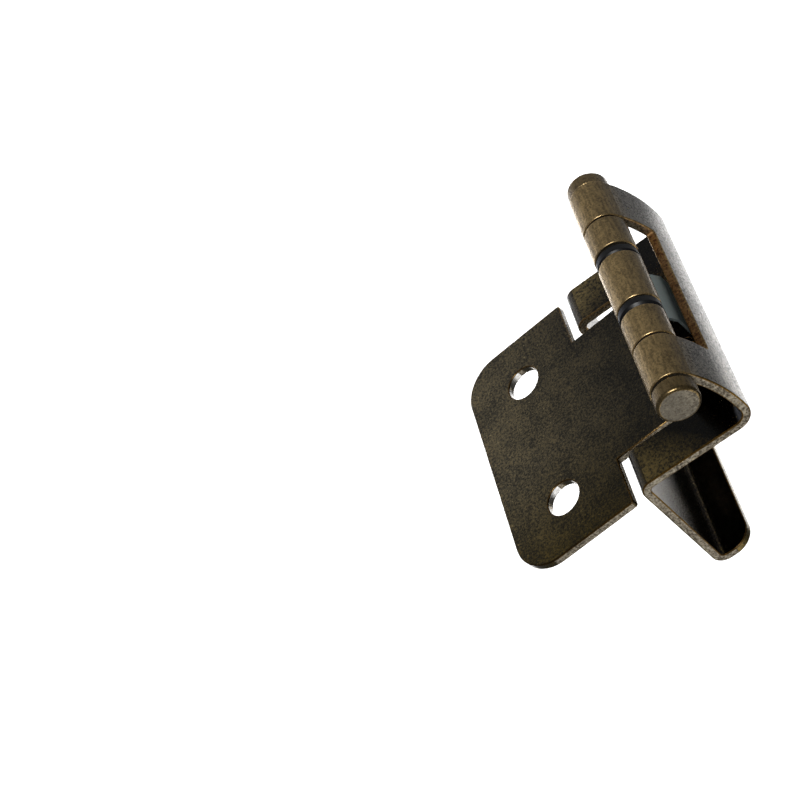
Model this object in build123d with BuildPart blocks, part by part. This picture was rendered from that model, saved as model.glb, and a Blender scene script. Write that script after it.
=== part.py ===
from build123d import *
from math import atan2, cos, degrees, radians, sin
import os

os.makedirs("parts", exist_ok=True)

# The origin is the middle of the screw slot on the plate's frame-side face.
# +X points into the cabinet's opening, +Y into its depth, +Z runs along the pin.
# With no door on it, the spring holds the door leaf against the far edge of the frame
# leaf's window, a few degrees past the position where pad and ledge are in line.

# Sheet steel and the cabinet stile that the frame leaf wraps
sheet = 1.4
leaf_length = 44.45
stile_depth = 19.05
wrap_fit = 1.7
bend_inner = 0.7
lip_reach = 5.3
lip_corner = 3.5
slot_setback = 10.65
slot_length = 12.0
slot_width = 4.8

# Bowed wall between the ledge and the end knuckles
wall_reach = 18.95
wall_foot_bend = 3.2
frame_curl = 288.0
cutout_gap = 0.4
cutout_setback = 8.5
cutout_corner = 0.5

# Pin, knuckles and rings
door_overlay = 9.525
pin_setback = 13.95
pin_radius = 1.95
pin_clearance = 0.05
pin_play = 0.55
head_radius = 3.3
head_length = 2.55
head_round = 0.6
spigot_radius = 1.1
spigot_length = 1.6
spigot_fit = 0.02
spigot_end_gap = 0.1
middle_knuckle_half = 5.1
ring_width = 1.85
ring_play = 0.3
ring_inset = 0.03
ring_round = 0.4

# Door leaf, measured from the pin along the pad
rest_turn = 4.7
pad_start = 17.0
pad_end = 37.65
pad_overhang = 0.35
pad_corner = 6.5
step_corner = 0.5
door_hole_radius = 2.9
door_hole_run = 27.4
door_hole_spacing = 26.0
neck_half = 13.4
riser_bend = 0.8
door_curl = 295.0
knuckle_slot_margin = 0.3

# Window in the fold that the neck passes through
window_play = 1.2
window_edge_gap = 0.3
window_stop_gap = 0.3

# Leaf spring, and the bosses of the frame leaf staked through its foot
spring_sheet = 0.5
spring_half = 5.1
spring_toe_gap = 0.35
spring_heel_gap = 0.95
spring_knee_gap = 1.15
spring_knee_rise = 6.65
spring_bend = 0.9
spring_tip_gap = 0.4
boss_spacing = 8.0
boss_rim = 0.35
boss_fit = 0.05
boss_head_lap = 0.2
boss_head_height = 0.5
dimple_radius = 1.2
dimple_depth = 0.8

# Positions that follow from the sizes
half = leaf_length / 2
turn = radians(rest_turn)
front_y = -slot_setback
back_y = front_y + stile_depth + wrap_fit
ledge_y = front_y - sheet
knuckle_bore = pin_radius + pin_clearance
knuckle_radius = knuckle_bore + sheet
pin_x = -door_overlay - knuckle_radius
pin_y = front_y - pin_setback
bow_y = front_y - wall_foot_bend
bow_run = pin_x + wall_reach
bow_rise = pin_y - bow_y
bow_radius = (bow_run**2 + bow_rise**2 - knuckle_radius**2) / (2 * (bow_run - knuckle_radius))
bow_x = bow_radius - wall_reach
bow_end = degrees(atan2(bow_rise, pin_x - bow_x)) % 360
ring_gap = ring_width + ring_play
ring_radius = knuckle_radius - ring_inset
cutout_half = neck_half + cutout_gap
cutout_y = front_y - cutout_setback
neck_face = pin_setback - sheet
# The neck's frame side, where it crosses the plate's outer face, stops on the window's edge
neck_run = (sheet - pin_x + pin_setback * sin(turn)) / cos(turn)
neck_y = pin_y + neck_run * sin(turn) + pin_setback * cos(turn)
window_y = neck_y + window_stop_gap
window_x = pin_x + knuckle_bore * cos(turn) - neck_face * sin(turn) - window_edge_gap
window_half = neck_half + window_play
pad_length = leaf_length + pad_overhang
# The spring's foot lies between window and wall, and its arm turns at a knee to point at the pin
spring_toe = spring_toe_gap - window_x
spring_heel = wall_reach - sheet - spring_heel_gap
boss_x = (spring_toe + spring_heel - spring_bend) / 2
boss_radius = spring_heel - spring_bend - boss_x - boss_rim
boss_head_radius = boss_radius + boss_head_lap
knee_x = spring_knee_gap + sheet - wall_reach
knee_y = ledge_y - spring_knee_rise
tip_angle = atan2(knee_y - pin_y, knee_x - pin_x)
tip_reach = knuckle_radius + spring_tip_gap
tip_x = pin_x + tip_reach * cos(tip_angle)
tip_y = pin_y + tip_reach * sin(tip_angle)

# Planes that face the door, with local x along X and local y along Z
front_plane = Plane(origin=(0, front_y, 0), x_dir=(1, 0, 0), z_dir=(0, -1, 0))
window_plane = Plane(origin=(0, window_y, 0), x_dir=(1, 0, 0), z_dir=(0, -1, 0))
ledge_plane = front_plane.offset(sheet)
boss_head_plane = ledge_plane.offset(spring_sheet)
# Plane beyond the wall, with local x along Y and local y along Z
wall_plane = Plane.YZ.offset(-wall_reach - sheet)
# Planes across the pin
pin_plane = Plane(origin=(pin_x, pin_y, 0))
lower_end_plane = pin_plane.offset(-half)
upper_end_plane = pin_plane.offset(half + pin_play)
upper_ring_plane = pin_plane.offset(middle_knuckle_half)
lower_ring_plane = pin_plane.offset(-middle_knuckle_half)
# Planes of the door leaf, turned about the pin: its profile, and its pad's frame side
door_plane = Plane(origin=(pin_x, pin_y, 0), x_dir=(cos(turn), sin(turn), 0), z_dir=(0, 0, 1))
pad_origin = (pin_x - pin_setback * sin(turn), pin_y + pin_setback * cos(turn), 0)
pad_plane = Plane(origin=pad_origin, x_dir=(cos(turn), sin(turn), 0), z_dir=(sin(turn), -cos(turn), 0))

# Frame leaf: lip, plate, ledge, bowed wall and end knuckles folded from one strip
with BuildPart() as frame_leaf:
    with BuildSketch(Plane.XY):
        with BuildLine():
            Line((-lip_reach, back_y), (-bend_inner, back_y))
            CenterArc((-bend_inner, back_y - bend_inner), bend_inner, 90, -90)
            Line((0, back_y - bend_inner), (0, front_y + bend_inner))
            CenterArc((-bend_inner, front_y + bend_inner), bend_inner, 0, -90)
            Line((-bend_inner, front_y), (wall_foot_bend - wall_reach, front_y))
            CenterArc((wall_foot_bend - wall_reach, bow_y), wall_foot_bend, 90, 90)
            CenterArc((bow_x, bow_y), bow_radius, 180, bow_end - 180)
            offset(amount=sheet, side=Side.LEFT)
        make_face()
        with BuildLine():
            frame_curl_out = CenterArc((pin_x, pin_y), knuckle_radius, bow_end, frame_curl)
            frame_curl_in = CenterArc((pin_x, pin_y), knuckle_bore, bow_end, frame_curl)
            Line(frame_curl_out @ 0, frame_curl_in @ 0)
            Line(frame_curl_out @ 1, frame_curl_in @ 1)
        make_face()
    extrude(amount=half, both=True)
    lip_edges = frame_leaf.edges().filter_by(Axis.Y).filter_by_position(Axis.Y, back_y, back_y + sheet)
    fillet(lip_edges.group_by(Axis.X)[0], lip_corner)
    # Cut-out that leaves room for the door leaf's knuckles
    with BuildSketch(wall_plane) as cutout:
        with Locations((cutout_y - pin_setback / 2, 0)):
            Rectangle(pin_setback, 2 * cutout_half)
        fillet(cutout.vertices().group_by(Axis.X)[-1], cutout_corner)
    extrude(amount=wall_reach, mode=Mode.SUBTRACT)
    # Window through the fold for the door leaf's neck
    with BuildSketch(window_plane):
        with Locations((window_x / 2 + sheet, 0)):
            Rectangle(2 * sheet - window_x, 2 * window_half)
    extrude(amount=window_y - ledge_y + sheet, mode=Mode.SUBTRACT)
    # Slotted screw hole in the plate
    with BuildSketch(Plane.YZ):
        SlotOverall(slot_length, slot_width, rotation=90)
    extrude(amount=sheet, mode=Mode.SUBTRACT)
    # Bosses pushed out of the ledge, leaving dimples on the frame side
    with BuildSketch(ledge_plane):
        with Locations((-boss_x, -boss_spacing / 2), (-boss_x, boss_spacing / 2)):
            Circle(boss_radius)
    extrude(amount=spring_sheet)
    with BuildSketch(boss_head_plane):
        with Locations((-boss_x, -boss_spacing / 2), (-boss_x, boss_spacing / 2)):
            Circle(boss_head_radius)
    extrude(amount=boss_head_height)
    with BuildSketch(front_plane):
        with Locations((-boss_x, -boss_spacing / 2), (-boss_x, boss_spacing / 2)):
            Circle(dimple_radius)
    extrude(amount=dimple_depth, mode=Mode.SUBTRACT)
frame_leaf.part.label = "frame_leaf"
export_step(frame_leaf.part, "parts/frame_leaf.step")

# Door leaf: neck, riser and knuckles folded from one strip, widening into the screw pad
with BuildPart() as door_leaf:
    with BuildSketch(door_plane):
        with BuildLine():
            Line((pad_start, neck_face), (knuckle_radius + riser_bend, neck_face))
            CenterArc((knuckle_radius + riser_bend, neck_face - riser_bend), riser_bend, 90, 90)
            Line((knuckle_radius, neck_face - riser_bend), (knuckle_radius, 0))
            offset(amount=sheet, side=Side.RIGHT)
        make_face()
        with BuildLine():
            door_curl_out = CenterArc((0, 0), knuckle_radius, 0, -door_curl)
            door_curl_in = CenterArc((0, 0), knuckle_bore, 0, -door_curl)
            Line(door_curl_out @ 0, door_curl_in @ 0)
            Line(door_curl_out @ 1, door_curl_in @ 1)
        make_face()
    extrude(amount=neck_half, both=True)
    with BuildSketch(pad_plane) as pad:
        with Locations(((pad_start + pad_end) / 2, 0)):
            Rectangle(pad_end - pad_start, pad_length)
        fillet(pad.vertices().group_by(Axis.X)[-1], pad_corner)
        fillet(pad.vertices().group_by(Axis.X)[0], step_corner)
        with Locations((door_hole_run, -door_hole_spacing / 2), (door_hole_run, door_hole_spacing / 2)):
            Circle(door_hole_radius, mode=Mode.SUBTRACT)
    extrude(amount=sheet)
    # Slots between the knuckles, where the rings sit
    with BuildSketch(upper_ring_plane):
        Circle(knuckle_radius + knuckle_slot_margin)
    extrude(amount=ring_gap, mode=Mode.SUBTRACT)
    with BuildSketch(lower_ring_plane):
        Circle(knuckle_radius + knuckle_slot_margin)
    extrude(amount=-ring_gap, mode=Mode.SUBTRACT)
door_leaf.part.label = "door_leaf"
export_step(door_leaf.part, "parts/door_leaf.step")

# Hinge pin: plain shank with a button head below and a spigot above
with BuildPart() as hinge_pin:
    with BuildSketch(lower_end_plane):
        Circle(pin_radius)
    extrude(amount=leaf_length + pin_play)
    with BuildSketch(upper_end_plane):
        Circle(spigot_radius)
    extrude(amount=spigot_length)
    with BuildSketch(lower_end_plane):
        Circle(head_radius)
    extrude(amount=-head_length)
    fillet(hinge_pin.edges().filter_by(GeomType.CIRCLE).sort_by(Axis.Z)[0], head_round)
hinge_pin.part.label = "hinge_pin"
export_step(hinge_pin.part, "parts/hinge_pin.step")

# Pin button: the second head, on the pin's spigot
with BuildPart() as pin_button:
    with BuildSketch(upper_end_plane):
        Circle(head_radius)
    extrude(amount=head_length)
    fillet(pin_button.edges().filter_by(GeomType.CIRCLE).sort_by(Axis.Z)[-1], head_round)
    with BuildSketch(upper_end_plane):
        Circle(spigot_radius + spigot_fit)
    extrude(amount=spigot_length + spigot_end_gap, mode=Mode.SUBTRACT)
pin_button.part.label = "pin_button"
export_step(pin_button.part, "parts/pin_button.step")

# Upper ring: around the pin, against the middle knuckle
with BuildPart() as upper_ring:
    with BuildSketch(upper_ring_plane):
        Circle(ring_radius)
    extrude(amount=ring_width)
    chamfer(upper_ring.edges().filter_by(GeomType.CIRCLE), ring_round)
    with BuildSketch(upper_ring_plane):
        Circle(knuckle_bore)
    extrude(amount=ring_width, mode=Mode.SUBTRACT)
upper_ring.part.label = "upper_ring"
export_step(upper_ring.part, "parts/upper_ring.step")

# Lower ring: the same below the middle knuckle
with BuildPart() as lower_ring:
    with BuildSketch(lower_ring_plane):
        Circle(ring_radius)
    extrude(amount=-ring_width)
    chamfer(lower_ring.edges().filter_by(GeomType.CIRCLE), ring_round)
    with BuildSketch(lower_ring_plane):
        Circle(knuckle_bore)
    extrude(amount=-ring_width, mode=Mode.SUBTRACT)
lower_ring.part.label = "lower_ring"
export_step(lower_ring.part, "parts/lower_ring.step")

# Leaf spring: a foot under the staked bosses and an arm that turns in to the middle knuckle
with BuildPart() as leaf_spring:
    with BuildSketch(Plane.XY):
        with BuildLine():
            FilletPolyline(
                (-spring_toe, ledge_y), (-spring_heel, ledge_y), (knee_x, knee_y), (tip_x, tip_y),
                radius=spring_bend
            )
            offset(amount=spring_sheet, side=Side.LEFT)
        make_face()
    extrude(amount=spring_half, both=True)
    with BuildSketch(ledge_plane):
        with Locations((-boss_x, -boss_spacing / 2), (-boss_x, boss_spacing / 2)):
            Circle(boss_radius + boss_fit)
    extrude(amount=spring_sheet, mode=Mode.SUBTRACT)
leaf_spring.part.label = "leaf_spring"
export_step(leaf_spring.part, "parts/leaf_spring.step")
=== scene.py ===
from math import hypot, radians

import bmesh
import bpy
from mathutils import Matrix, Vector


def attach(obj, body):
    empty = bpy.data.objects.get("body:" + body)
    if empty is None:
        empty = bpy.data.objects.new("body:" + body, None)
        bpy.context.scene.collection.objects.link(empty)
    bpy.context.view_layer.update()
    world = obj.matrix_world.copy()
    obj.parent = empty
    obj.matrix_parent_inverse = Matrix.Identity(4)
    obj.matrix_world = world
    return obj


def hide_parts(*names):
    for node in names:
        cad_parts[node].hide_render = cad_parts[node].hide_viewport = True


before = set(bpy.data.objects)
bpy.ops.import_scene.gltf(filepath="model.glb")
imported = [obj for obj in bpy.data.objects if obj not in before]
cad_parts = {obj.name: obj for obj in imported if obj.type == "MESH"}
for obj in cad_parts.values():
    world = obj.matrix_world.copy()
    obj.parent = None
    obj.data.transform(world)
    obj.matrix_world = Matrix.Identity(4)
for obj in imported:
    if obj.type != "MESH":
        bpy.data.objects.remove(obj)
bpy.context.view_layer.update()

MM = 0.001
PIN_X = -12.925 * MM
PIN_Y = -24.6 * MM
# Millimetre positions of the frame leaf's folds
CUTOUT_Y = -19.15
LEDGE_Y = -12.05
LEDGE_BACK_Y = -10.65
LIP_Y = 10.1
BEND = 0.75
WALL_INSIDE_X = -13.0
# The door leaf's screw holes
HOLE_X = 14.38
HOLE_Z = 13.0
HOLE_RADIUS = 2.9
BARREL_RADIUS = 3.4
# How near a face lies to a fold, to the barrel and to the cut-out's edge, in millimetres
NEAR = 0.05
BARREL_MARGIN = 0.2
CUTOUT_BAND = 1.0
# How far a face's normal turns towards an axis
TURNED = 0.05
TURNED_IN = 0.1
HOLE_WALL_TURN = 0.3
FACING = 0.9
SQUARE = 0.99
# Mesh clean-up before the rounds
WELD = 0.001 * MM
FLAT = radians(0.6)
SHARP = radians(35)
# Slots of the folded sheet's finishes
FACE, RIM, SHEARED, INSIDE, COPPER, LEDGE, WALL, PUNCHED, CHANNEL = range(9)


def linear(hex_colour):
    """An sRGB hex colour as linear RGBA."""
    parts = [int(hex_colour[i:i + 2], 16) / 255 for i in (1, 3, 5)]
    return [c / 12.92 if c <= 0.04045 else ((c + 0.055) / 1.055) ** 2.4 for c in parts] + [1.0]


def node(tree, kind, links=None, **settings):
    """Adds a node, sets its properties and sockets, and links its inputs."""
    made = tree.nodes.new(kind)
    for key, value in settings.items():
        if hasattr(made, key):
            setattr(made, key, value)
        else:
            made.inputs[key.replace("_", " ")].default_value = value
    for socket, source in (links or {}).items():
        tree.links.new(source, made.inputs[socket])
    return made


def new_material(name):
    """An empty node material and its tree."""
    made = bpy.data.materials.new(name)
    made.use_nodes = True
    made.node_tree.nodes.clear()
    return made, made.node_tree


def antique_brass(name, dark, middle, light, worn, roughness,
                  folds=1.0, edges=1.0, deep=1.0, warm=1.0, pits=0.25):
    """Brass plate, blackened, relieved by tumbling and lacquered, in tones from patina to bare brass, with
    painted shade by and under the barrel.
    """
    made, tree = new_material(name)
    place = node(tree, "ShaderNodeTexCoord").outputs["Object"]
    # Clouds of patina about 5 mm across
    clouds = node(tree, "ShaderNodeTexNoise", {"Vector": place},
                  Scale=1 / (5.0 * MM), Detail=2.0).outputs["Fac"]
    # The tumbled grain is about 0.1 mm: drawn at 0.34 mm so that it shows
    grain = node(tree, "ShaderNodeTexNoise", {"Vector": place},
                 Scale=1 / (0.34 * MM), Detail=3.0, Roughness=0.7).outputs["Fac"]
    mottle = node(tree, "ShaderNodeMix", {"A": clouds, "B": grain}, Factor=0.78).outputs["Result"]
    tone = node(tree, "ShaderNodeValToRGB", {"Fac": mottle})
    stops = tone.color_ramp.elements
    stops[0].position, stops[0].color = 0.42, linear(dark)
    stops[1].position, stops[1].color = 0.62, linear(light)
    stops.new(0.5).color = linear(middle)
    # Bright flecks of bare brass, about 0.3 mm across, one in every few square millimetres
    cells = node(tree, "ShaderNodeTexVoronoi", {"Vector": place}, Scale=1 / (1.1 * MM))
    fleck = node(tree, "ShaderNodeMapRange", {"Value": cells.outputs["Distance"]},
                 From_Min=0.10, From_Max=0.16, To_Min=1.0, To_Max=0.0).outputs["Result"]
    lucky = node(tree, "ShaderNodeMapRange", {"Value": cells.outputs["Color"]},
                 From_Min=0.66, From_Max=0.72, To_Min=0.0, To_Max=0.5).outputs["Result"]
    spark = node(tree, "ShaderNodeMath", {0: fleck, 1: lucky}, operation="MULTIPLY").outputs["Value"]
    flecked = node(tree, "ShaderNodeMix", {"Factor": spark, "A": tone.outputs["Color"]}, data_type="RGBA")
    flecked.inputs["B"].default_value = linear("#d8c492")
    # Distance from the pin's axis
    from_pin = node(tree, "ShaderNodeVectorMath", {0: place}, operation="SUBTRACT")
    from_pin.inputs[1].default_value = (PIN_X, PIN_Y, 0)
    across = node(tree, "ShaderNodeVectorMath", {0: from_pin.outputs["Vector"]}, operation="MULTIPLY")
    across.inputs[1].default_value = (1, 1, 0)
    radius = node(tree, "ShaderNodeVectorMath", {0: across.outputs["Vector"]},
                  operation="LENGTH").outputs["Value"]
    # Painted shade and light by distance from the pin: the folds factor in the folds around the barrel, the
    # edges factor towards the pad's free edge
    shade_by_radius = node(tree, "ShaderNodeMapRange", {"Value": radius},
                     From_Min=13.0 * MM, From_Max=36.0 * MM, To_Min=folds, To_Max=edges).outputs["Result"]
    # Painted shade deep inside the fold under the barrel, darker still towards the tunnel's middle
    sides = node(tree, "ShaderNodeSeparateXYZ", {"Vector": place})
    height = sides.outputs["Z"]
    from_middle = node(tree, "ShaderNodeMath", {0: height}, operation="ABSOLUTE").outputs["Value"]
    mouth = node(tree, "ShaderNodeMath", {0: from_middle, 1: sides.outputs["X"]},
                 operation="ADD").outputs["Value"]
    tunnel_shade = node(tree, "ShaderNodeMapRange", {"Value": mouth},
                   From_Min=9.0 * MM, From_Max=19.0 * MM, To_Min=deep, To_Max=1.0).outputs["Result"]
    painted_shade = node(tree, "ShaderNodeMath", {0: shade_by_radius, 1: tunnel_shade}, operation="MULTIPLY").outputs["Value"]
    shaded_tone = node(tree, "ShaderNodeVectorMath", {0: flecked.outputs["Result"], "Scale": painted_shade},
                   operation="SCALE")
    # Towards the upper end the plate is yellower and darker
    warmth = node(tree, "ShaderNodeMapRange", {"Value": height},
                  From_Min=4.0 * MM, From_Max=22.0 * MM, To_Min=0.0, To_Max=warm).outputs["Result"]
    warmed = node(tree, "ShaderNodeMix", {"Factor": warmth, "A": shaded_tone.outputs["Vector"]},
                  data_type="RGBA", blend_type="MULTIPLY")
    warmed.inputs["B"].default_value = (0.52, 0.45, 0.19, 1)
    # Tumbling reaches the curled knuckles first: the brass shows within 4 mm of the pin's axis
    curled = node(tree, "ShaderNodeMapRange", {"Value": radius},
                  From_Min=3.5 * MM, From_Max=4.3 * MM, To_Min=1.0, To_Max=0.0).outputs["Result"]
    # Rubs along the pin's direction, 0.4 mm wide and about 2 mm long
    drawn_out = node(tree, "ShaderNodeVectorMath", {0: place}, operation="MULTIPLY")
    drawn_out.inputs[1].default_value = (1, 1, 0.22)
    rubs = node(tree, "ShaderNodeTexNoise", {"Vector": drawn_out.outputs["Vector"]},
                Scale=1 / (0.4 * MM), Detail=2.0).outputs["Fac"]
    patches = node(tree, "ShaderNodeMix", {"A": mottle, "B": rubs}, Factor=0.4).outputs["Result"]
    rubbed = node(tree, "ShaderNodeMapRange", {"Value": patches},
                  From_Min=0.42, From_Max=0.58, To_Min=0.45, To_Max=1.0).outputs["Result"]
    # Painted shade: less bare brass shows where the curl turns towards the wall, in the wall's shade
    beside = node(tree, "ShaderNodeSeparateXYZ", {"Vector": from_pin.outputs["Vector"]}).outputs["X"]
    wall_side_shade = node(tree, "ShaderNodeMapRange", {"Value": beside},
                   From_Min=-3.4 * MM, From_Max=-0.3 * MM, To_Min=0.3, To_Max=1.0).outputs["Result"]
    lit_curl = node(tree, "ShaderNodeMath", {0: curled, 1: wall_side_shade}, operation="MULTIPLY").outputs["Value"]
    wear_and_shade = node(tree, "ShaderNodeMath", {0: lit_curl, 1: rubbed}, operation="MULTIPLY").outputs["Value"]
    colour = node(tree, "ShaderNodeMix", {"Factor": wear_and_shade, "A": warmed.outputs["Result"]}, data_type="RGBA")
    colour.inputs["B"].default_value = linear(worn)
    gloss = node(tree, "ShaderNodeMapRange", {"Value": grain},
                 From_Min=0.35, From_Max=0.65, To_Min=roughness + 0.08, To_Max=roughness - 0.08)
    pitted = node(tree, "ShaderNodeBump", {"Height": grain}, Strength=pits, Distance=0.05 * MM)
    surface = node(tree, "ShaderNodeBsdfPrincipled",
                   {"Base Color": colour.outputs["Result"], "Roughness": gloss.outputs["Result"],
                    "Normal": pitted.outputs["Normal"], "Coat Normal": pitted.outputs["Normal"]},
                   Metallic=1.0, Coat_Weight=0.3, Coat_Roughness=0.16)
    node(tree, "ShaderNodeOutputMaterial", {"Surface": surface.outputs["BSDF"]})
    return made


# Steel sheet, brass plated, blackened and relieved by tumbling, then lacquered:
# a mottle of black, olive and brown patina over gold-brown brass.
# Painted shade darkens it in the folds by the barrel, and painted light lifts it towards the pad's free edge
sheet_face = antique_brass("antique_brass_on_folded_steel",
                           "#3f3a2f", "#665d49", "#928260", "#dab97f", 0.30, folds=0.22, edges=1.6)
# The same plate on the ledge under the barrel: lighter at its ends, black towards its middle, painted shade
# of the barrel above it.
ledge_face = antique_brass("antique_brass_under_barrel",
                           "#3e382b", "#84744f", "#b49d68", "#b49d68", 0.30, deep=0.03, warm=0.6)
# The same plate inside the folds: close to black and glossy, painted shade.
inner_face = antique_brass("antique_brass_painted_shade_inside", "#040404", "#0f0e0b", "#2c271d", "#2c271d", 0.22)
# The same plate in the channel that wraps the stile: brown black, painted shade.
channel_face = antique_brass("antique_brass_in_channel",
                             "#1a1712", "#453d2e", "#75664a", "#75664a", 0.28)
# The same plate over rounded rims, where tumbling has rubbed it back to bare brass.
worn_rim = antique_brass("antique_brass_rubbed_rim",
                         "#6a5638", "#94764a", "#c2a068", "#f0cf95", 0.30, edges=0.5)
# The same plate over sheared edges: grainy, matt, tan grey.
sheared_edge = antique_brass("antique_brass_sheared_edge",
                             "#574d3c", "#8c806a", "#b8ae98", "#756d5d", 0.55, warm=0.0)
# The same plate over the cut-out's long edge, thin enough for its copper underplate to show: red brown.
copper_edge = antique_brass("antique_brass_thin_over_copper",
                            "#6a4626", "#a07447", "#bf9a69", "#bf9a69", 0.42)
# The same plate on the wall's outside, rubbed evenly to a grey-brown bloom with dark pits.
wall_face = antique_brass("antique_brass_on_wall",
                          "#37342e", "#767069", "#979086", "#c0a470", 0.30, warm=0.2, pits=0.5)
# The same plate on the pin's heads: browner than the knuckles.
pin_face = antique_brass("antique_brass_on_pin", "#3a3226", "#5e513a", "#8a7652", "#9c845a", 0.28)
# The walls of the punched holes: near white steel grey, a painted reflection of the pale floor.
punched_wall = antique_brass("punched_wall_painted_reflection",
                             "#d8d6d2", "#e6e4e0", "#f2f1ee", "#f2f1ee", 0.35, warm=0.0)

# Acetal ring, injection moulded: glossy black with a faint haze of handling marks.
acetal, tree = new_material("black_acetal_moulded")
place = node(tree, "ShaderNodeTexCoord").outputs["Object"]
haze = node(tree, "ShaderNodeTexNoise", {"Vector": place}, Scale=1 / (0.8 * MM), Detail=2.0)
dull = node(tree, "ShaderNodeMapRange", {"Value": haze.outputs["Fac"]}, To_Min=0.28, To_Max=0.44)
surface = node(tree, "ShaderNodeBsdfPrincipled", {"Roughness": dull.outputs["Result"]},
               Base_Color=linear("#0a0a0b"), IOR=1.48)
node(tree, "ShaderNodeOutputMaterial", {"Surface": surface.outputs["BSDF"]})

# Spring steel strip, cold rolled: pale blue-grey, with a sheen that varies over 0.4 mm.
strip, tree = new_material("spring_steel_rolled")
place = node(tree, "ShaderNodeTexCoord").outputs["Object"]
sheen = node(tree, "ShaderNodeTexNoise", {"Vector": place}, Scale=1 / (0.4 * MM), Detail=2.0)
bright = node(tree, "ShaderNodeMapRange", {"Value": sheen.outputs["Fac"]}, To_Min=0.4, To_Max=0.6)
# Its foot, deep in the fold, is painted black as shade
depth = node(tree, "ShaderNodeSeparateXYZ", {"Vector": place}).outputs["Y"]
foot_shade = node(tree, "ShaderNodeMapRange", {"Value": depth},
             From_Min=-14.2 * MM, From_Max=-12.9 * MM, To_Min=0.0, To_Max=1.0).outputs["Result"]
colour = node(tree, "ShaderNodeMix", {"Factor": foot_shade}, data_type="RGBA")
colour.inputs["A"].default_value = linear("#c2d0ce")
colour.inputs["B"].default_value = linear("#161616")
surface = node(tree, "ShaderNodeBsdfPrincipled",
               {"Base Color": colour.outputs["Result"], "Roughness": bright.outputs["Result"]}, Metallic=1.0)
node(tree, "ShaderNodeOutputMaterial", {"Surface": surface.outputs["BSDF"]})


def sheet_slot(face):
    """The slot of a face of the folded sheet, by where it lies."""
    centre, way = face.calc_center_median() / MM, face.normal
    if abs(way.z) > SQUARE:
        return SHEARED
    from_hole = hypot(centre.x - HOLE_X, abs(centre.z) - HOLE_Z)
    # Hole walls take the finish whitened as a painted reflection of the floor
    if from_hole < HOLE_RADIUS + NEAR and abs(way.y) < HOLE_WALL_TURN:
        return PUNCHED
    off_barrel = hypot(centre.x - PIN_X / MM, centre.y - PIN_Y / MM) > BARREL_RADIUS + BARREL_MARGIN
    if way.x < -TURNED and centre.x < WALL_INSIDE_X and off_barrel:
        return WALL
    if way.y < -TURNED and abs(way.x) < TURNED and abs(centre.y - CUTOUT_Y) < CUTOUT_BAND:
        return COPPER
    # The ledge under the barrel takes the finish with painted shade towards its middle
    if way.y < -SQUARE and abs(centre.y - LEDGE_Y) < NEAR:
        return LEDGE
    in_channel = -BEND < centre.x < NEAR and LEDGE_Y < centre.y < LIP_Y + NEAR and way.x < -TURNED
    lip_inside = way.y < -FACING and abs(centre.y - LIP_Y) < NEAR
    wall_inside = way.x > TURNED_IN and centre.x < WALL_INSIDE_X and centre.y > CUTOUT_Y
    ledge_back = way.y > FACING and centre.x < 0 and abs(centre.y - LEDGE_BACK_Y) < NEAR
    # Faces inside the folds and in the channel take finishes darkened as painted shade
    if lip_inside or wall_inside:
        return INSIDE
    return CHANNEL if in_channel or ledge_back else FACE


def eased(name, body, finishes, round_mm, steps):
    """A copy of a CAD node with small rounds on its sharp edges, in its finishes by face."""
    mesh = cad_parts[name].data.copy()
    mesh.materials.clear()
    for material in finishes:
        mesh.materials.append(material)
    if "custom_normal" in mesh.attributes:
        mesh.attributes.remove(mesh.attributes["custom_normal"])
    work = bmesh.new()
    work.from_mesh(mesh)
    bmesh.ops.remove_doubles(work, verts=work.verts, dist=WELD)
    bmesh.ops.dissolve_limit(work, angle_limit=FLAT, verts=work.verts, edges=work.edges)
    one_finish = len(set(finishes)) == 1
    for face in work.faces:
        face.smooth = True
        face.material_index = 0 if one_finish else sheet_slot(face)
    rounded = work.edges.layers.float.new("bevel_weight_edge")
    for edge in work.edges:
        sharp = edge.calc_face_angle(0.0) > SHARP
        edge[rounded] = 1.0 if sharp and edge.is_convex else 0.0
        edge.smooth = not sharp or edge.is_convex
    work.to_mesh(mesh)
    work.free()
    piece = bpy.data.objects.new(name + "_eased", mesh)
    bpy.context.scene.collection.objects.link(piece)
    rounds = piece.modifiers.new("rounds", "BEVEL")
    rounds.width = round_mm * MM
    rounds.segments = steps
    rounds.limit_method = "WEIGHT"
    rounds.use_clamp_overlap = False
    rounds.loop_slide = False
    rounds.material = RIM
    rounds.harden_normals = True
    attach(piece, body)
    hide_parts(name)


SHEET = (sheet_face, worn_rim, sheared_edge, inner_face, copper_edge, ledge_face, wall_face, punched_wall,
         channel_face)
# The pin's end faces take the sheared edge's finish, its rounds the rim's
PIN = (pin_face, worn_rim, sheared_edge) + (pin_face,) * 6
eased("frame_leaf", "frame_side", SHEET, 0.22, 3)
eased("door_leaf", "door_side", SHEET, 0.22, 3)
eased("hinge_pin", "frame_side", PIN, 0.12, 2)
eased("pin_button", "frame_side", PIN, 0.12, 2)
eased("upper_ring", "door_side", (acetal, acetal), 0.05, 1)
eased("lower_ring", "door_side", (acetal, acetal), 0.05, 1)
eased("leaf_spring", "frame_side", (strip, strip), 0.08, 2)

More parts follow.
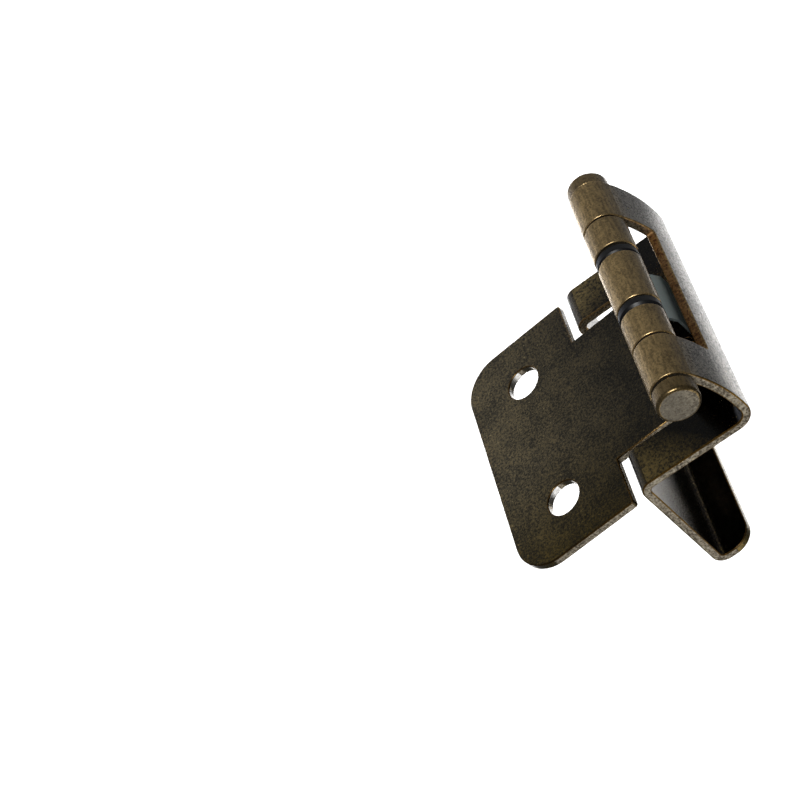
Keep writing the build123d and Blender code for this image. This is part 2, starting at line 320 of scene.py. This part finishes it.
# Pale floor well below the part, so that it only fills the background
FLOOR_DROP = 0.35
FLOOR_REACH = 3.0
floor_mesh = bpy.data.meshes.new("floor")
corners = ((-1, -1), (1, -1), (1, 1), (-1, 1))
floor_mesh.from_pydata([(x * FLOOR_REACH, y * FLOOR_REACH, -FLOOR_DROP) for x, y in corners],
                       [], [(0, 1, 2, 3)])
floor = bpy.data.objects.new("floor", floor_mesh)
bpy.context.scene.collection.objects.link(floor)
paper, tree = new_material("white_paper_sweep")
surface = node(tree, "ShaderNodeBsdfPrincipled", Base_Color=linear("#f7f7f7"), Roughness=0.9)
node(tree, "ShaderNodeOutputMaterial", {"Surface": surface.outputs["BSDF"]})
floor_mesh.materials.append(paper)

# Studio light
world = bpy.data.worlds.new("studio")
bpy.context.scene.world = world
world.use_nodes = True
world.node_tree.nodes["Background"].inputs["Color"].default_value = linear("#e8ebf0")
world.node_tree.nodes["Background"].inputs["Strength"].default_value = 0.14


def softbox(name, place, target, along, width, depth, power, spread=180.0, colour="#ffffff"):
    """A rectangular area light that faces the target, with its width in the given direction."""
    lamp = bpy.data.lights.new(name, "AREA")
    lamp.shape = "RECTANGLE"
    lamp.size = width
    lamp.size_y = depth
    lamp.energy = power
    lamp.color = linear(colour)[:3]
    lamp.spread = radians(spread)
    box = bpy.data.objects.new(name, lamp)
    back = (Vector(place) - Vector(target)).normalized()
    side = Vector(along)
    side = (side - back * side.dot(back)).normalized()
    turn = Matrix((side, back.cross(side), back)).transposed().to_4x4()
    box.matrix_world = Matrix.Translation(place) @ turn
    bpy.context.scene.collection.objects.link(box)


# Two lights whiten the floor where the camera sees it and where the wall mirrors it
softbox("floor_light", place=(0.131, 0.626, 0.10), target=(0.131, 0.626, -FLOOR_DROP), along=(1, 1, 0),
        width=0.93, depth=0.90, power=4.5, spread=12.0)
softbox("camera_light", place=(-0.09, -0.35, 0.34), target=(0, 0, 0), along=(1, 0, 0),
        width=0.14, depth=0.14, power=0.8)
softbox("back_light", place=(-0.05, 0.37, 0.45), target=(0, 0, 0), along=(1, 0, 0),
        width=0.75, depth=0.3, power=0.9)
softbox("side_floor_light", place=(0.6435, -0.0778, 0.10), target=(0.6435, -0.0778, -FLOOR_DROP),
        along=(1, 1, 0), width=0.70, depth=0.78, power=0.60, spread=24.0, colour="#e6ecff")

bpy.context.scene.view_settings.view_transform = "Standard"

# Camera: the photograph's viewing direction, with its right, down and forward axes
LENS = 93.17
CAMERA_PLACE = (-0.069863, -0.222521, 0.222237)
camera_data = bpy.data.cameras.new("camera")
camera_data.lens = LENS
camera_data.sensor_width = 36.0
camera_data.clip_start = 0.01
camera = bpy.data.objects.new("camera", camera_data)
right = Vector((-0.776866, 0.601481, 0.186277))
down = Vector((0.550846, 0.505885, 0.663815))
ahead = Vector((0.305037, 0.618305, -0.724328))
camera.matrix_world = (Matrix.Translation(CAMERA_PLACE)
                       @ Matrix((right, -down, -ahead)).transposed().to_4x4())
bpy.context.scene.collection.objects.link(camera)
bpy.context.scene.camera = camera
